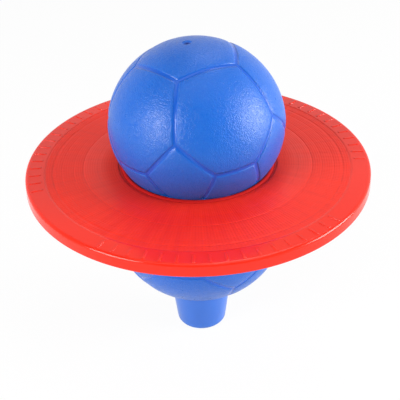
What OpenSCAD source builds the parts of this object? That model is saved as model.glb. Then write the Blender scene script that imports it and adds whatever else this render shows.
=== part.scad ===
// Hopper ball: a waisted inflated ball in a round platform, with a foot under it.
// The rider stands on the platform, holds the upper lobe between the shoes and
// bounces on the foot. Millimetres, +Z up, origin in the middle of the foot's
// underside. The ball is blown up inside the platform's hole, so the lips of the
// hole set the ball's waist, and the lobes bulge out above and below it.

/* [Foot] */
// Height of the foot's rim above the ground
foot_h = 60.5; // [50:0.5:75]
// Radius of the foot at the ground, before its edge is rounded
foot_tip_r = 29.4; // [26:0.2:33]
// Radius of the foot at its rim
foot_rim_r = 36.5; // [34:0.5:42]
// Thickness of the foot's side
foot_wall = 3; // [2:0.25:5]
// Thickness of the foot's floor
foot_floor_t = 4; // [3:0.5:8]
// Rounding of the foot's lower edge
foot_edge_r = 5; // [3:0.5:8]
// Gap between the foot's rim and the ball
seat_gap = 0.3; // [0.2:0.05:0.6]

/* [Ball] */
// Radius of the upper lobe's crown
upper_r = 96.8; // [94:0.2:104]
// How much smaller the radius of its shoulder is, down to the lip
upper_shoulder_step = 15.9; // [13:0.1:19]
// Angle from the top at which the crown passes into the shoulder
upper_turn = 71.2; // [60:0.2:80]
// Radius of the lower lobe's crown
lower_r = 102; // [98:0.5:108]
// How much smaller the radius of its shoulder is, up to the lip
lower_shoulder_step = 17; // [14:0.1:20]
// Angle from the bottom at which the crown passes into the shoulder
lower_turn = 81.4; // [70:0.2:88]
// Thickness of the vinyl
ball_wall = 2.6; // [2:0.1:4]
// Gap between the ball's waist and the platform
neck_gap = 0.2; // [0.1:0.05:0.5]

/* [Seams] */
// Width of a moulded seam groove
seam_w = 3.6; // [2:0.2:6]
// Depth of a seam groove
seam_depth = 1.2; // [0.6:0.1:1.4]
// Bearing of the first seam that leaves the top pentagon
seam_bearing = -102.2; // [-180:0.2:180]
// Lean of the upper lobe's pattern and of the valve away from the axis
seam_lean = 4.8; // [0:0.2:8]
// Bearing towards which they lean
seam_lean_bearing = 166; // [-180:1:180]

/* [Valve] */
// Radius of the valve's stem
valve_r = 3.6; // [3:0.1:4.5]
// Gap between the stem and its boss
valve_gap = 0.05; // [0.02:0.01:0.1]
// Thickness of the valve's flange inside the ball
valve_flange_t = 2; // [1.5:0.1:3]
// Spread of the flange past the stem
valve_flange_reach = 2.6; // [1.5:0.1:4]
// Radius of the needle bore
needle_r = 1; // [0.8:0.05:1.3]
// Length of the needle bore
needle_len = 9; // [7:0.5:12]
// Rubber left below the needle bore
needle_floor = 1.4; // [0.8:0.1:3]
// Depth of the funnel that leads a needle in
funnel_depth = 2; // [1:0.1:3]
// Radius of the funnel's mouth
funnel_r = 2; // [1.5:0.1:2.6]
// Radius of the boss inside the ball
boss_r = 8; // [7:0.25:10]
// Depth of the boss below the ball's surface
boss_depth = 9; // [7:0.25:12]
// Depth of the dimple over the valve
dimple_depth = 1.4; // [0.6:0.1:2]
// Radius of the dimple at the ball's surface
dimple_r = 5; // [4.6:0.1:7]

/* [Platform] */
// Radius of the platform's flat top
deck_r = 190; // [180:1:200]
// Thickness of the deck
deck_t = 2.8; // [2.4:0.1:3.6]
// Height of the skirt that hangs from the rim
skirt_h = 13.7; // [12:0.1:18]
// Thickness of the skirt
skirt_t = 2.6; // [2:0.1:3.2]
// Spread of the skirt from top to bottom
skirt_flare = 0.4; // [0.2:0.1:1]
// Rounding of the rim's top edge
rim_edge_r = 1.2; // [0.6:0.1:2]
// Width of the smooth rim band
band_w = 21; // [18:0.5:24]
// Step down from the rim band to the tread
tread_recess = 0.4; // [0.2:0.1:0.8]

/* [Hub] */
// How far the hole squeezes in the ball, from the radius of the upper lobe's crown
waist_squeeze = 16.6; // [15:0.1:19]
// Radius of the rolled lips at both ends of the hole
lip_r = 2.5; // [2:0.1:2.8]
// Distance between the centres of the upper and the lower lip
hub_span = 14.05; // [11:0.05:16]
// Height of the rim band above the upper lip's centre
lip_sink = 1.95; // [1.6:0.05:2.4]
// Thickness of the collar between the lips
collar_t = 3; // [2.4:0.1:3.6]
// Distance from the hole to the deck, across the lip and the moat
moat_w = 7.8; // [7:0.1:10]
// Depth of the moat below the rim band
moat_depth = 2.4; // [2:0.1:3]
// Rounding of the deck's edge at the moat
moat_edge_r = 0.8; // [0.4:0.1:1.2]

/* [Ribs] */
// Number of spokes below the deck
spokes = 30; // [20:1:36]
// Bearing of the first spoke
spoke_bearing = 3; // [0:0.5:12]
// Thickness of a spoke or a ring rib
rib_t = 2; // [1.6:0.1:2.4]
// Depth of a spoke below the rim band, at the collar
spoke_root_depth = 15.5; // [13:0.1:16]
// Depth of a spoke below the rim band, at the skirt
spoke_tip_depth = 12; // [9:0.1:12.5]
// Depth of the ring ribs below the rim band
ring_rib_depth = 9; // [6:0.25:11]
// Distance from the rim band in to the inner ring rib and the groove above it
inner_ring_gap = 42.5; // [34:0.5:54]
// Distance from the rim band in to the outer ring rib and the groove above it
outer_ring_gap = 9.5; // [5:0.5:16]
// Half width of the grooves above the ring ribs
ring_groove_r = 0.7; // [0.4:0.1:1]

/* [Grip marks] */
// Number of groups of raised grip marks on the rim band
mark_groups = 3; // [1:1:6]
// Number of marks in a group
marks = 17; // [3:1:20]
// Angle between two marks of a group
mark_pitch = 5; // [4:0.5:6]
// Bearing of the first group's middle
mark_bearing = -82; // [-180:1:180]
// Radial length of a mark
mark_len = 13; // [8:0.5:15]
// Width of a mark
mark_w = 3; // [2:0.25:5]
// Height of a mark
mark_h = 0.5; // [0.3:0.05:0.8]

/* [Hidden] */
$fn = 120;

// Overrun of cuts past a face, and of a piece into the wall that carries it
overrun = 1;

// A place in the half plane of a turned profile, by its angle from the +Z direction
function polar(length, angle) = [length * sin(angle), length * cos(angle)];
function unit(v) = v / norm(v);

// Radii that follow from the ball and from the platform's rim
upper_shoulder_r = upper_r - upper_shoulder_step;
lower_shoulder_r = lower_r - lower_shoulder_step;
hub_bore_r = upper_r - waist_squeeze;
moat_r = hub_bore_r + moat_w;
band_r = deck_r - band_w;
inner_ring_r = band_r - inner_ring_gap;
outer_ring_r = band_r - outer_ring_gap;

// Chain of heights: foot, lower lobe, lower lip, upper lip, upper lobe and deck. Each lobe's
// shoulder rests on its lip: their circles touch but for the gap
lip_centre_r = hub_bore_r + lip_r;
lip_reach = lip_r + neck_gap;
lower_z = foot_h + sqrt(pow(lower_r + seat_gap, 2) - pow(foot_rim_r, 2));
lower_ring = [0, lower_z] + polar(lower_r - lower_shoulder_r, 180 - lower_turn);
lower_rise = sqrt(pow(lower_shoulder_r + lip_reach, 2) - pow(lip_centre_r - lower_ring.x, 2));
lip_low = [lip_centre_r, lower_ring.y + lower_rise];
lip_top = lip_low + [0, hub_span];
upper_step = polar(upper_r - upper_shoulder_r, upper_turn);
upper_rise = sqrt(pow(upper_shoulder_r + lip_reach, 2) - pow(lip_centre_r - upper_step.x, 2));
upper_ring = [upper_step.x, lip_top.y + upper_rise];
upper_z = upper_ring.y - upper_step.y;
deck_z = lip_top.y + lip_sink;

// The 32-panel pattern of a round ball, by angles from the pole and round it: the corners of
// the pole's pentagon, then the corners of the five pentagons that stand about it
pentagon_pitch = 360 / 5;
pentagon_spread = asin(1 / (2 * sin(pentagon_pitch / 2) * sqrt(58 + 18 * sqrt(5)) / 4));
pentagon_tilt = atan(2);
function corner_angle(turn) = acos(
    cos(pentagon_tilt) * cos(pentagon_spread)
    + sin(pentagon_tilt) * sin(pentagon_spread) * cos(turn));
function corner_swing(turn) = atan2(
    sin(turn) * sin(pentagon_spread) * sin(pentagon_tilt),
    cos(pentagon_spread) - cos(pentagon_tilt) * cos(corner_angle(turn)));
function flipped(corner) = [corner.x, -corner.y];
corner_1 = [pentagon_spread, 0];
corner_2 = [corner_angle(0), 0];
corner_3 = [corner_angle(pentagon_pitch), corner_swing(pentagon_pitch)];
corner_4 = [corner_angle(2 * pentagon_pitch), corner_swing(2 * pentagon_pitch)];
next_1 = [corner_1.x, pentagon_pitch];
next_3 = [corner_3.x, pentagon_pitch - corner_3.y];
equator = [90, pentagon_pitch / 4];

// Pressure spreads the pattern from each pole: shares of the angle at the pole, and lost by 90
upper_spread_shares = [1.77, 0.35];
lower_spread_shares = [1.542, 0.414];
function corner_dir(corner, shares, bearing) =
    let (a = corner.x * (shares[0] - shares[1] * pow(corner.x / 90, 2)))
    let (b = corner.y + bearing)
    [sin(a) * cos(b), sin(a) * sin(b), cos(a)];

// A direction after the whole pattern leans over towards a bearing
function leaned(d, lean, bearing) =
    let (x = d.x * cos(bearing) + d.y * sin(bearing))
    let (y = d.y * cos(bearing) - d.x * sin(bearing))
    let (u = x * cos(lean) + d.z * sin(lean))
    [
        u * cos(bearing) - y * sin(bearing),
        u * sin(bearing) + y * cos(bearing),
        d.z * cos(lean) - x * sin(lean)
    ];
function upper_dir(corner, k) =
    leaned(
        corner_dir(corner, upper_spread_shares, seam_bearing + k * pentagon_pitch),
        seam_lean,
        seam_lean_bearing);
function lower_dir(corner, k) =
    corner_dir(corner, lower_spread_shares, seam_bearing + (k + 1 / 2) * pentagon_pitch);

// Angle from its pole at which a lobe meets its lip, and the direction at which a seam that
// runs from one corner towards another gets there
lip_margin_angle = 1.5;
function pole_angle(d) = acos(d.z);
function lip_angle(ring, lip, centre_z, shoulder_r) =
    let (touch = ring + shoulder_r * unit(lip - ring))
    atan2(touch.x, (touch.y - centre_z) * sign(ring.y - lip.y)) - lip_margin_angle;
upper_lip_angle = lip_angle(upper_ring, lip_top, upper_z, upper_shoulder_r);
lower_lip_angle = lip_angle(lower_ring, lip_low, lower_z, lower_shoulder_r);
function at_lip(from, to, angle) =
    let (share = (angle - pole_angle(from)) / (pole_angle(to) - pole_angle(from)))
    unit(from + share * (to - from));

// Reach of a seam's plate from the lobe's centre, as shares of the crown's radius
plate_inner_share = 0.85;
plate_outer_share = 1.1;

// Half section of one lobe about its centre, drawn smaller by inset; the shoulder's circle lies
// inside the crown's and touches it at the turn
module lobe_section(crown_r, shoulder_r, turn, inset) {
    far = 2 * crown_r;
    intersection() {
        circle(r = crown_r - inset);
        polygon([[0, 0], polar(far, 0), polar(far, turn / 2), polar(far, turn)]);
    }
    intersection() {
        translate(polar(crown_r - shoulder_r, turn)) circle(r = shoulder_r - inset);
        translate([0, -crown_r]) square([far, far]);
    }
}

// Half section of the whole ball, drawn smaller by inset
module ball_section(inset) {
    neck_r = hub_bore_r - neck_gap - inset;
    upper_touch = upper_ring + (upper_shoulder_r - inset) * unit(lip_top - upper_ring);
    lower_touch = lower_ring + (lower_shoulder_r - inset) * unit(lip_low - lower_ring);
    translate([0, upper_z]) lobe_section(upper_r, upper_shoulder_r, upper_turn, inset);
    translate([0, lower_z]) mirror([0, 1]) lobe_section(lower_r, lower_shoulder_r, lower_turn, inset);
    difference() {
        polygon([
            [0, lower_z],
            lower_ring,
            lower_touch,
            [neck_r, lip_low.y],
            [neck_r, lip_top.y],
            upper_touch,
            upper_ring,
            [0, upper_z]
        ]);
        translate(lip_top) circle(r = lip_reach + inset);
        translate(lip_low) circle(r = lip_reach + inset);
    }
}

// The plate that cuts one seam between two directions: it stands in the plane through the lobe's
// centre, and runs a little past both corners, so that the plates of three seams close up there
module seam_plate(from, to, crown_r) {
    z = unit(cross(from, to));
    y = cross(z, from);
    angle = acos(from * to);
    inner = plate_inner_share * crown_r;
    outer = plate_outer_share * crown_r;
    past = seam_w / 4;
    multmatrix([
        [from.x, y.x, z.x, 0],
        [from.y, y.y, z.y, 0],
        [from.z, y.z, z.z, 0],
        [0, 0, 0, 1]
    ]) linear_extrude(height = seam_w, center = true) polygon([
        [inner, -past],
        [outer, -past],
        [outer * cos(angle) - past * sin(angle), outer * sin(angle) + past * cos(angle)],
        [inner * cos(angle) - past * sin(angle), inner * sin(angle) + past * cos(angle)]
    ]);
}

module upper_seam(from, to) seam_plate(from, to, upper_r);
module lower_seam(from, to) seam_plate(from, to, lower_r);

// Seams of the upper lobe about its centre, down to the lip, where the next pentagons are hidden
module upper_seams() {
    for (k = [0 : 4]) {
        upper_seam(upper_dir(corner_1, k), upper_dir(next_1, k));
        upper_seam(upper_dir(corner_1, k), upper_dir(corner_2, k));
        upper_seam(upper_dir(corner_3, k), upper_dir(next_3, k));
        for (side = [[corner_3, corner_4], [flipped(corner_3), flipped(corner_4)]]) {
            shoulder = upper_dir(side[0], k);
            upper_seam(upper_dir(corner_2, k), shoulder);
            upper_seam(shoulder, at_lip(shoulder, upper_dir(side[1], k), upper_lip_angle));
        }
    }
}

// Seams of the lower lobe about its centre, drawn with its pole up
module lower_seams() {
    for (k = [0 : 4]) {
        lower_seam(lower_dir(corner_1, k), lower_dir(next_1, k));
        lower_seam(lower_dir(corner_1, k), lower_dir(corner_2, k));
        lower_seam(lower_dir(corner_3, k), lower_dir(next_3, k));
        lower_seam(lower_dir(flipped(corner_4), k), lower_dir(corner_4, k));
        for (side = [[corner_3, corner_4, equator],
                     [flipped(corner_3), flipped(corner_4), flipped(equator)]]) {
            shoulder = lower_dir(side[0], k);
            low = lower_dir(side[1], k);
            lower_seam(lower_dir(corner_2, k), shoulder);
            lower_seam(shoulder, low);
            lower_seam(low, at_lip(low, lower_dir(side[2], k), lower_lip_angle));
        }
    }
}

// The skin that the seams are cut into, and a little air over it
module seam_depth_skin() {
    difference() {
        rotate_extrude() ball_section(-overrun);
        rotate_extrude() ball_section(seam_depth);
    }
}

// The valve's place: on the upper lobe's crown, with +Z outwards
module at_valve() {
    translate([0, 0, upper_z])
        rotate([0, 0, seam_lean_bearing])
            rotate([0, seam_lean, 0])
                translate([0, 0, upper_r])
                    children();
}

// The ball: a closed vinyl shell with a boss inside for the valve
module ball() {
    color("royalblue") difference() {
        union() {
            difference() {
                rotate_extrude() ball_section(0);
                rotate_extrude() ball_section(ball_wall);
            }
            at_valve() translate([0, 0, -boss_depth]) cylinder(r = boss_r, h = boss_depth - ball_wall / 2);
        }
        at_valve() translate([0, 0, -boss_depth - overrun])
            cylinder(r = valve_r + valve_gap, h = boss_depth + 2 * overrun);
        at_valve() translate([0, 0, -dimple_depth]) cylinder(
            r1 = valve_r + valve_gap,
            r2 = valve_r + (dimple_r - valve_r) * (dimple_depth + overrun) / dimple_depth,
            h = dimple_depth + overrun);
        intersection() {
            seam_depth_skin();
            union() {
                translate([0, 0, upper_z]) upper_seams();
                translate([0, 0, lower_z]) mirror([0, 0, 1]) lower_seams();
            }
        }
    }
}

// The rubber valve: a stem in the boss, a flange inside the ball, a funnel and a needle bore
module valve() {
    top = -dimple_depth;
    flange_top = -boss_depth - valve_gap;
    tip = top - funnel_depth - needle_len - needle_floor;
    color("midnightblue") at_valve() rotate_extrude() difference() {
        union() {
            translate([0, tip]) square([valve_r, top - tip]);
            translate([0, flange_top - valve_flange_t])
                square([valve_r + valve_flange_reach, valve_flange_t]);
        }
        translate([0, top - funnel_depth - needle_len]) square([needle_r, needle_len + funnel_depth]);
        polygon([
            [0, top - funnel_depth],
            [needle_r, top - funnel_depth],
            [funnel_r, top],
            [funnel_r, top + overrun],
            [0, top + overrun]
        ]);
    }
}

// Half section of the deck, rim band, skirt and collar, about the rim band's plane
module platform_section() {
    tread = -tread_recess;
    deck_low = tread - deck_t;
    moat_low = -moat_depth - deck_t;
    skirt_low = skirt_t / 2 - skirt_h;
    collar_r = hub_bore_r + collar_t;
    low_lip_z = -lip_sink - hub_span;

    // Rim band with a rounded edge
    translate([band_r, deck_low]) square([deck_r - rim_edge_r - band_r, -deck_low]);
    translate([deck_r - rim_edge_r, -rim_edge_r]) circle(r = rim_edge_r);

    // Skirt with a rounded lower edge
    polygon([
        [deck_r - skirt_t, -rim_edge_r],
        [deck_r, -rim_edge_r],
        [deck_r + skirt_flare, skirt_low],
        [deck_r + skirt_flare - skirt_t, skirt_low]
    ]);
    translate([deck_r + skirt_flare - skirt_t / 2, skirt_low]) circle(r = skirt_t / 2);

    // Deck with ring grooves, its rounded edge, and the wall that goes down to the moat's floor
    difference() {
        translate([moat_r + moat_edge_r, deck_low]) square([band_r - moat_r, deck_t]);
        for (r = [inner_ring_r, outer_ring_r]) translate([r, tread]) circle(r = ring_groove_r);
    }
    translate([moat_r + moat_edge_r, tread - moat_edge_r]) circle(r = moat_edge_r);
    translate([moat_r, moat_low]) square([deck_t, tread - moat_edge_r - moat_low]);

    // Floor of the moat, collar and both lips
    collar_middle_r = hub_bore_r + collar_t / 2;
    translate([collar_middle_r, moat_low]) square([moat_r + deck_t / 2 - collar_middle_r, deck_t]);
    translate([hub_bore_r, low_lip_z]) square([collar_t, hub_span]);
    translate([lip_centre_r, -lip_sink]) circle(r = lip_r);
    translate([lip_centre_r, low_lip_z]) circle(r = lip_r);
}

// One spoke in the half plane, sunk a little into the collar, the deck and the skirt
module spoke() {
    root_r = hub_bore_r + collar_t / 2;
    tip_r = deck_r - skirt_t / 2;
    sunk = deck_t / 2;
    rotate([90, 0, 0]) linear_extrude(height = rib_t, center = true) polygon([
        [root_r, -moat_depth - sunk],
        [moat_r + sunk, -moat_depth - sunk],
        [moat_r + sunk, -tread_recess - sunk],
        [tip_r, -tread_recess - sunk],
        [tip_r, -spoke_tip_depth],
        [root_r, -spoke_root_depth]
    ]);
}

module ring_rib(r) {
    height = ring_rib_depth - tread_recess - deck_t / 2;
    rotate_extrude() translate([r - rib_t / 2, -ring_rib_depth]) square([rib_t, height]);
}

// One raised grip mark on the rim band, standing in the middle of its width
module grip_mark() {
    middle = (band_r + deck_r) / 2;
    translate([middle - mark_len / 2, -mark_w / 2, -deck_t / 2])
        cube([mark_len, mark_w, mark_h + deck_t / 2]);
}

// The platform: one moulding, with plain grip marks on its rim band
module platform() {
    color("red") translate([0, 0, deck_z]) {
        rotate_extrude() platform_section();
        for (k = [0 : spokes - 1]) rotate([0, 0, spoke_bearing + k * 360 / spokes]) spoke();
        ring_rib(inner_ring_r);
        ring_rib(outer_ring_r);
        for (g = [0 : mark_groups - 1], m = [0 : marks - 1])
            rotate([0, 0, mark_bearing + g * 360 / mark_groups + (m - (marks - 1) / 2) * mark_pitch])
                grip_mark();
    }
}

// Half section of the foot's tapered body, drawn smaller by inset, from bottom to top
module foot_section(inset, bottom, top, edge_r) {
    taper = [foot_rim_r - foot_tip_r, foot_h];
    out = [taper.y, -taper.x] / norm(taper);
    side_r = foot_tip_r - inset / out.x;
    edge_x = side_r + (bottom + edge_r) * taper.x / taper.y - edge_r / out.x;
    edge = [edge_x, bottom + edge_r];
    polygon([
        [0, bottom],
        [edge.x, bottom],
        edge + edge_r * out,
        [side_r + top * taper.x / taper.y, top],
        [0, top]
    ]);
    translate(edge) circle(r = edge_r);
}

// The foot: a tapered cup, and its rim follows the lower lobe
module foot() {
    top = foot_h + foot_wall;
    color("blue") difference() {
        rotate_extrude() foot_section(0, 0, top, foot_edge_r);
        rotate_extrude() foot_section(foot_wall, foot_floor_t, top + overrun, foot_edge_r - foot_wall / 2);
        translate([0, 0, lower_z]) sphere(r = lower_r + seat_gap);
    }
}

ball();
valve();
platform();
foot();
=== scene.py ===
"""Hopper ball: the visual model, made around the packed CAD frame.

A rider stands on the red platform, holds the upper lobe of the blue ball between the shoes and
bounces on the foot. Shape functions work in millimetres, with Z up and the origin in the middle
of the foot's underside, and a piece becomes metres when its mesh is made.
"""

import math

import bpy
import numpy as np
from mathutils import Matrix


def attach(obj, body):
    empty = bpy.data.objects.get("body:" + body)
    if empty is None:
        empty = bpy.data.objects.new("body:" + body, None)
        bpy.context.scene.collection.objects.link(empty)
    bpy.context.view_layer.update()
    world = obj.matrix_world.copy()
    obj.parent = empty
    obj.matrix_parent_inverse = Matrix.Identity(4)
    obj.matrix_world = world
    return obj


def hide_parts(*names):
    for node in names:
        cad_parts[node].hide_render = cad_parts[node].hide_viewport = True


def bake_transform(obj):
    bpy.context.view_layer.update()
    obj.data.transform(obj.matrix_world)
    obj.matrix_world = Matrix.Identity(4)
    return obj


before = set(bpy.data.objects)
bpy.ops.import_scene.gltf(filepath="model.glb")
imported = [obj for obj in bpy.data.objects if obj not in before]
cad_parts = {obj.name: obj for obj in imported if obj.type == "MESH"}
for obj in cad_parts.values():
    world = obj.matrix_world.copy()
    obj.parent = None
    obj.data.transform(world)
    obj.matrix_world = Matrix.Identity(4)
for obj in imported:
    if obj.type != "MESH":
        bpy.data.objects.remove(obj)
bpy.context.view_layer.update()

bl_info = {
    "name": "Hopper ball",
    "version": (1, 0, 0),
    "blender": (4, 5, 0),
    "location": "3D View > Sidebar > Hopper ball",
    "description": "Makes the ball, valve, platform and foot of a hopper ball, and a plain studio for it",
    "category": "Add Mesh",
}

MM = 0.001
TURN = 2.0 * math.pi
RIGHT = 0.5 * math.pi

# Foot: height, radius at the rim, and its gap to the ball
FOOT_H = 60.5
FOOT_RIM_R = 36.5
SEAT_GAP = 0.3

# Lobes of the ball: crown and shoulder radii, and the angle from the pole where they meet
UPPER_LOBE = {"crown": 96.8, "shoulder": 80.9, "turn": math.radians(71.2)}
LOWER_LOBE = {"crown": 102.0, "shoulder": 85.0, "turn": math.radians(81.4)}

# Platform's hole: its radius, the round of its two lips, their distance, and the gap to the vinyl
BORE_R = 80.2
LIP_R = 2.5
LIP_CENTRE_R = BORE_R + LIP_R
HUB_SPAN = 14.05
NECK_GAP = 0.2

# Platform's radii: rim, inner edge of the rim band, outer edge of the moat, collar, ring ribs
DECK_R = 190.0
BAND_R = DECK_R - 21.0
MOAT_R = BORE_R + 7.8
COLLAR_R = BORE_R + 3.0
RING_RIB_R = (BAND_R - 42.5, BAND_R - 9.5)

# Platform's thickness, its heights about the rim band, and how far below it the upper lip's round
# is centred
DECK_T = 2.8
TREAD = -0.4
UNDER = TREAD - DECK_T
MOAT_UNDER = -2.4 - DECK_T
LIP_SINK = 1.95

# Seam pattern: shares of the angle at the pole and lost by 90 degrees, bearing, lean and its fading
UPPER_SPREAD = (1.77, 0.35)
LOWER_SPREAD = (1.542, 0.414)
SEAM_BEARING = math.radians(-102.2)
LEAN = math.radians(4.8)
LEAN_BEARING = math.radians(166.0)
LEAN_FADE = (math.radians(12.0), math.radians(68.0))
SEAM_FAR = 10.0


def linear_colour(code):
    """An sRGB colour written as #RRGGBB, as linear red, green and blue with an alpha of 1."""
    parts = [int(code[i:i + 2], 16) / 255.0 for i in (1, 3, 5)]
    return tuple(c / 12.92 if c <= 0.04045 else ((c + 0.055) / 1.055) ** 2.4 for c in parts) + (1.0,)


def smooth(low, high, x):
    """The smoothstep: 0 up to low, 1 from high, and 3t^2 - 2t^3 between them."""
    t = np.clip((x - low) / (high - low), 0.0, 1.0)
    return t * t * (3.0 - 2.0 * t)


def line(a, b, count):
    """count points evenly along the straight line from a up to b, without b."""
    t = np.linspace(0.0, 1.0, count, endpoint=False)[:, None]
    return np.asarray(a, float) + t * (np.asarray(b, float) - np.asarray(a, float))


def arc(centre, radius, start, end, count):
    """count points from the angle start to end, both taken, on the circle centre + radius (cos, sin)."""
    a = np.linspace(start, end, count)
    return np.asarray(centre, float) + radius * np.stack([np.cos(a), np.sin(a)], -1)


def pointing(angle, bearing):
    """Unit vectors (sin angle cos bearing, sin angle sin bearing, cos angle), pole up along +Z."""
    parts = (np.sin(angle) * np.cos(bearing), np.sin(angle) * np.sin(bearing), np.cos(angle))
    return np.stack(np.broadcast_arrays(*parts), -1)


def turned(section, columns):
    """The grid of a section turned about the Z axis: each point (r, z) goes to (r cos a, r sin a, z)."""
    a = np.arange(columns) * TURN / columns
    r, z = section[:, 0, None], section[:, 1, None]
    return np.stack(np.broadcast_arrays(r * np.cos(a), r * np.sin(a), z), -1)


def swung(points, a):
    """Points turned about the Z axis by a: (x cos a - y sin a, x sin a + y cos a, z)."""
    c, s = math.cos(a), math.sin(a)
    return points @ np.array([[c, s, 0.0], [-s, c, 0.0], [0.0, 0.0, 1.0]])


def leaned(points, lean, bearing):
    """Points turned by the angle lean about the level axis square to the bearing, from +Z towards it."""
    c, s = math.cos(bearing), math.sin(bearing)
    x, y, z = np.moveaxis(points, -1, 0)
    along, across = x * c + y * s, y * c - x * s
    out = along * np.cos(lean) + z * np.sin(lean)
    up = z * np.cos(lean) - along * np.sin(lean)
    return np.stack([out * c - across * s, out * s + across * c, up], -1)


def raised(shape, height):
    """A shape's points lifted by a height, and its faces."""
    return shape[0] + np.array([0.0, 0.0, height]), shape[1]


def volume(points, faces):
    """Signed volume inside a closed mesh: the sum of the tetrahedra from the origin to each triangle."""
    quads = np.array([f for f in faces if len(f) == 4], int).reshape(-1, 4)
    fans = np.array([f for f in faces if len(f) == 3], int).reshape(-1, 3)
    triangles = np.vstack([quads[:, [0, 1, 2]], quads[:, [0, 2, 3]], fans])
    a, b, c = (points[triangles[:, i]] for i in range(3))
    return float((a * np.cross(b, c)).sum() / 6.0)


def skin(grid, poles=None):
    """Points and faces over a grid of rows by columns, where each row runs right round.

    Without poles the section is a closed one, so the last row joins the first. With them, the
    two ends are closed by fans of triangles to the two pole points. The faces are turned outwards.
    """
    rows, columns = grid.shape[:2]
    points = grid.reshape(-1, 3)
    r = np.arange(rows if poles is None else rows - 1)[:, None]
    c = np.arange(columns)[None, :]
    here, above = r * columns, (r + 1) % rows * columns
    beside = (c + 1) % columns
    quads = np.stack([here + c, here + beside, above + beside, above + c], -1).reshape(-1, 4)
    faces = quads.tolist()
    if poles is not None:
        points = np.vstack([points, poles])
        first, last = len(points) - 2, len(points) - 1
        top = (rows - 1) * columns
        c, beside = c[0], beside[0]
        faces += np.stack([beside, c, np.full(columns, first)], -1).tolist()
        faces += np.stack([top + c, top + beside, np.full(columns, last)], -1).tolist()
    if volume(points, faces) < 0.0:
        faces = [face[::-1] for face in faces]
    return points, faces


def joined(skins):
    """Several skins as one set of points and faces."""
    points, faces, start = [], [], 0
    for p, f in skins:
        points.append(p)
        faces += [[i + start for i in face] for face in f]
        start += len(p)
    return np.vstack(points), faces


def make_piece(name, shape, node, material, sharp=50.0):
    """A new object from points in millimetres and faces, shaded smooth up to sharp degrees."""
    points, faces = shape
    mesh = bpy.data.meshes.new(name)
    mesh.from_pydata((points * MM).tolist(), [], faces)
    mesh.update()
    if mesh.validate():
        raise RuntimeError(f"{name} has faces that Blender had to mend")
    mesh.shade_smooth()
    mesh.set_sharp_from_angle(angle=math.radians(sharp))
    mesh.materials.append(material)
    piece = bpy.data.objects.new(name, mesh)
    bpy.context.scene.collection.objects.link(piece)
    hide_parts(node)
    return piece


def add_value(mesh, name, values):
    """A number for each point of the mesh, which materials read by its name."""
    layer = mesh.attributes.new(name, "FLOAT", "POINT")
    layer.data.foreach_set("value", np.asarray(values, np.float32))


# Ball and seams


def shoulder_centre(lobe):
    """Centre (r, z) of a lobe's shoulder circle, which touches the crown at the turn.

    It is measured from the lobe's centre, with the pole up, as all places on a lobe are.
    """
    return (lobe["crown"] - lobe["shoulder"]) * np.array([math.sin(lobe["turn"]), math.cos(lobe["turn"])])


def lip_centre(lobe):
    """Centre (r, z) of the round of the lip that a lobe's shoulder rests on.

    Its distance from the shoulder's centre is shoulder + gap + lip, and Pythagoras gives its height.
    """
    r, z = shoulder_centre(lobe)
    reach = lobe["shoulder"] + NECK_GAP + LIP_R
    return np.array([LIP_CENTRE_R, z - math.sqrt(reach ** 2 - (LIP_CENTRE_R - r) ** 2)])


# Heights above the ground, stacked from the foot: lobes' centres, lips, middle of the waist, rim band
LOWER_Z = FOOT_H + math.sqrt((LOWER_LOBE["crown"] + SEAT_GAP) ** 2 - FOOT_RIM_R ** 2)
LOW_LIP_Z = LOWER_Z - lip_centre(LOWER_LOBE)[1]
TOP_LIP_Z = LOW_LIP_Z + HUB_SPAN
UPPER_Z = TOP_LIP_Z - lip_centre(UPPER_LOBE)[1]
DECK_Z = TOP_LIP_Z + LIP_SINK


def lobe_reach(angle, lobe, inset=0.0):
    """Distance from a lobe's centre to its surface at an angle from its pole.

    Up to the turn it is the crown's radius. Past it, it is the far crossing of the ray with the
    shoulder's circle, whose centre lies towards the turn by the difference of the two radii.
    """
    step = lobe["crown"] - lobe["shoulder"]
    along = step * np.cos(angle - lobe["turn"])
    across = step * np.sin(angle - lobe["turn"])
    shoulder = along + np.sqrt((lobe["shoulder"] - inset) ** 2 - across ** 2)
    return np.where(angle < lobe["turn"], lobe["crown"] - inset, shoulder)


def lobe_rows(lobe, start, inner_start, ball):
    """Section of a lobe's skin as points (r, z), and the share of the grooves' depth at each of them.

    It runs down the outside from the angle start, round the lip to the waist, and back up the
    inside. The grooves fade out round the lip.
    """
    wall = ball.wall / MM
    ring, lip = shoulder_centre(lobe), lip_centre(lobe)
    towards = (ring - lip) / np.linalg.norm(ring - lip)
    bend = math.atan2(towards[1], towards[0])

    def stretch(inset, angles):
        return lobe_reach(angles, lobe, inset)[:, None] * np.stack([np.sin(angles), np.cos(angles)], -1)

    def end(inset):
        touch = ring - (lobe["shoulder"] - inset) * towards
        return math.atan2(touch[0], touch[1])

    outside = stretch(0.0, np.linspace(start, end(0.0), ball.rows))
    round_lip = arc(lip, LIP_R + NECK_GAP, bend, math.pi, 8)[1:]
    neck_r, neck_z = BORE_R - NECK_GAP, lip[1] - HUB_SPAN / 2.0
    neck = [[neck_r, neck_z], [neck_r - wall, neck_z]]
    round_inside = arc(lip, LIP_R + NECK_GAP + wall, bend, math.pi, 6)[::-1]
    inside = stretch(wall, np.linspace(end(wall), inner_start, 20)[1:])
    section = np.vstack([outside, round_lip, neck, round_inside, inside])
    share = np.zeros(len(section))
    share[:ball.rows] = 1.0
    share[ball.rows:ball.rows + len(round_lip)] = np.linspace(1.0, 0.0, len(round_lip) + 1)[1:]
    return section, share


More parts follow.
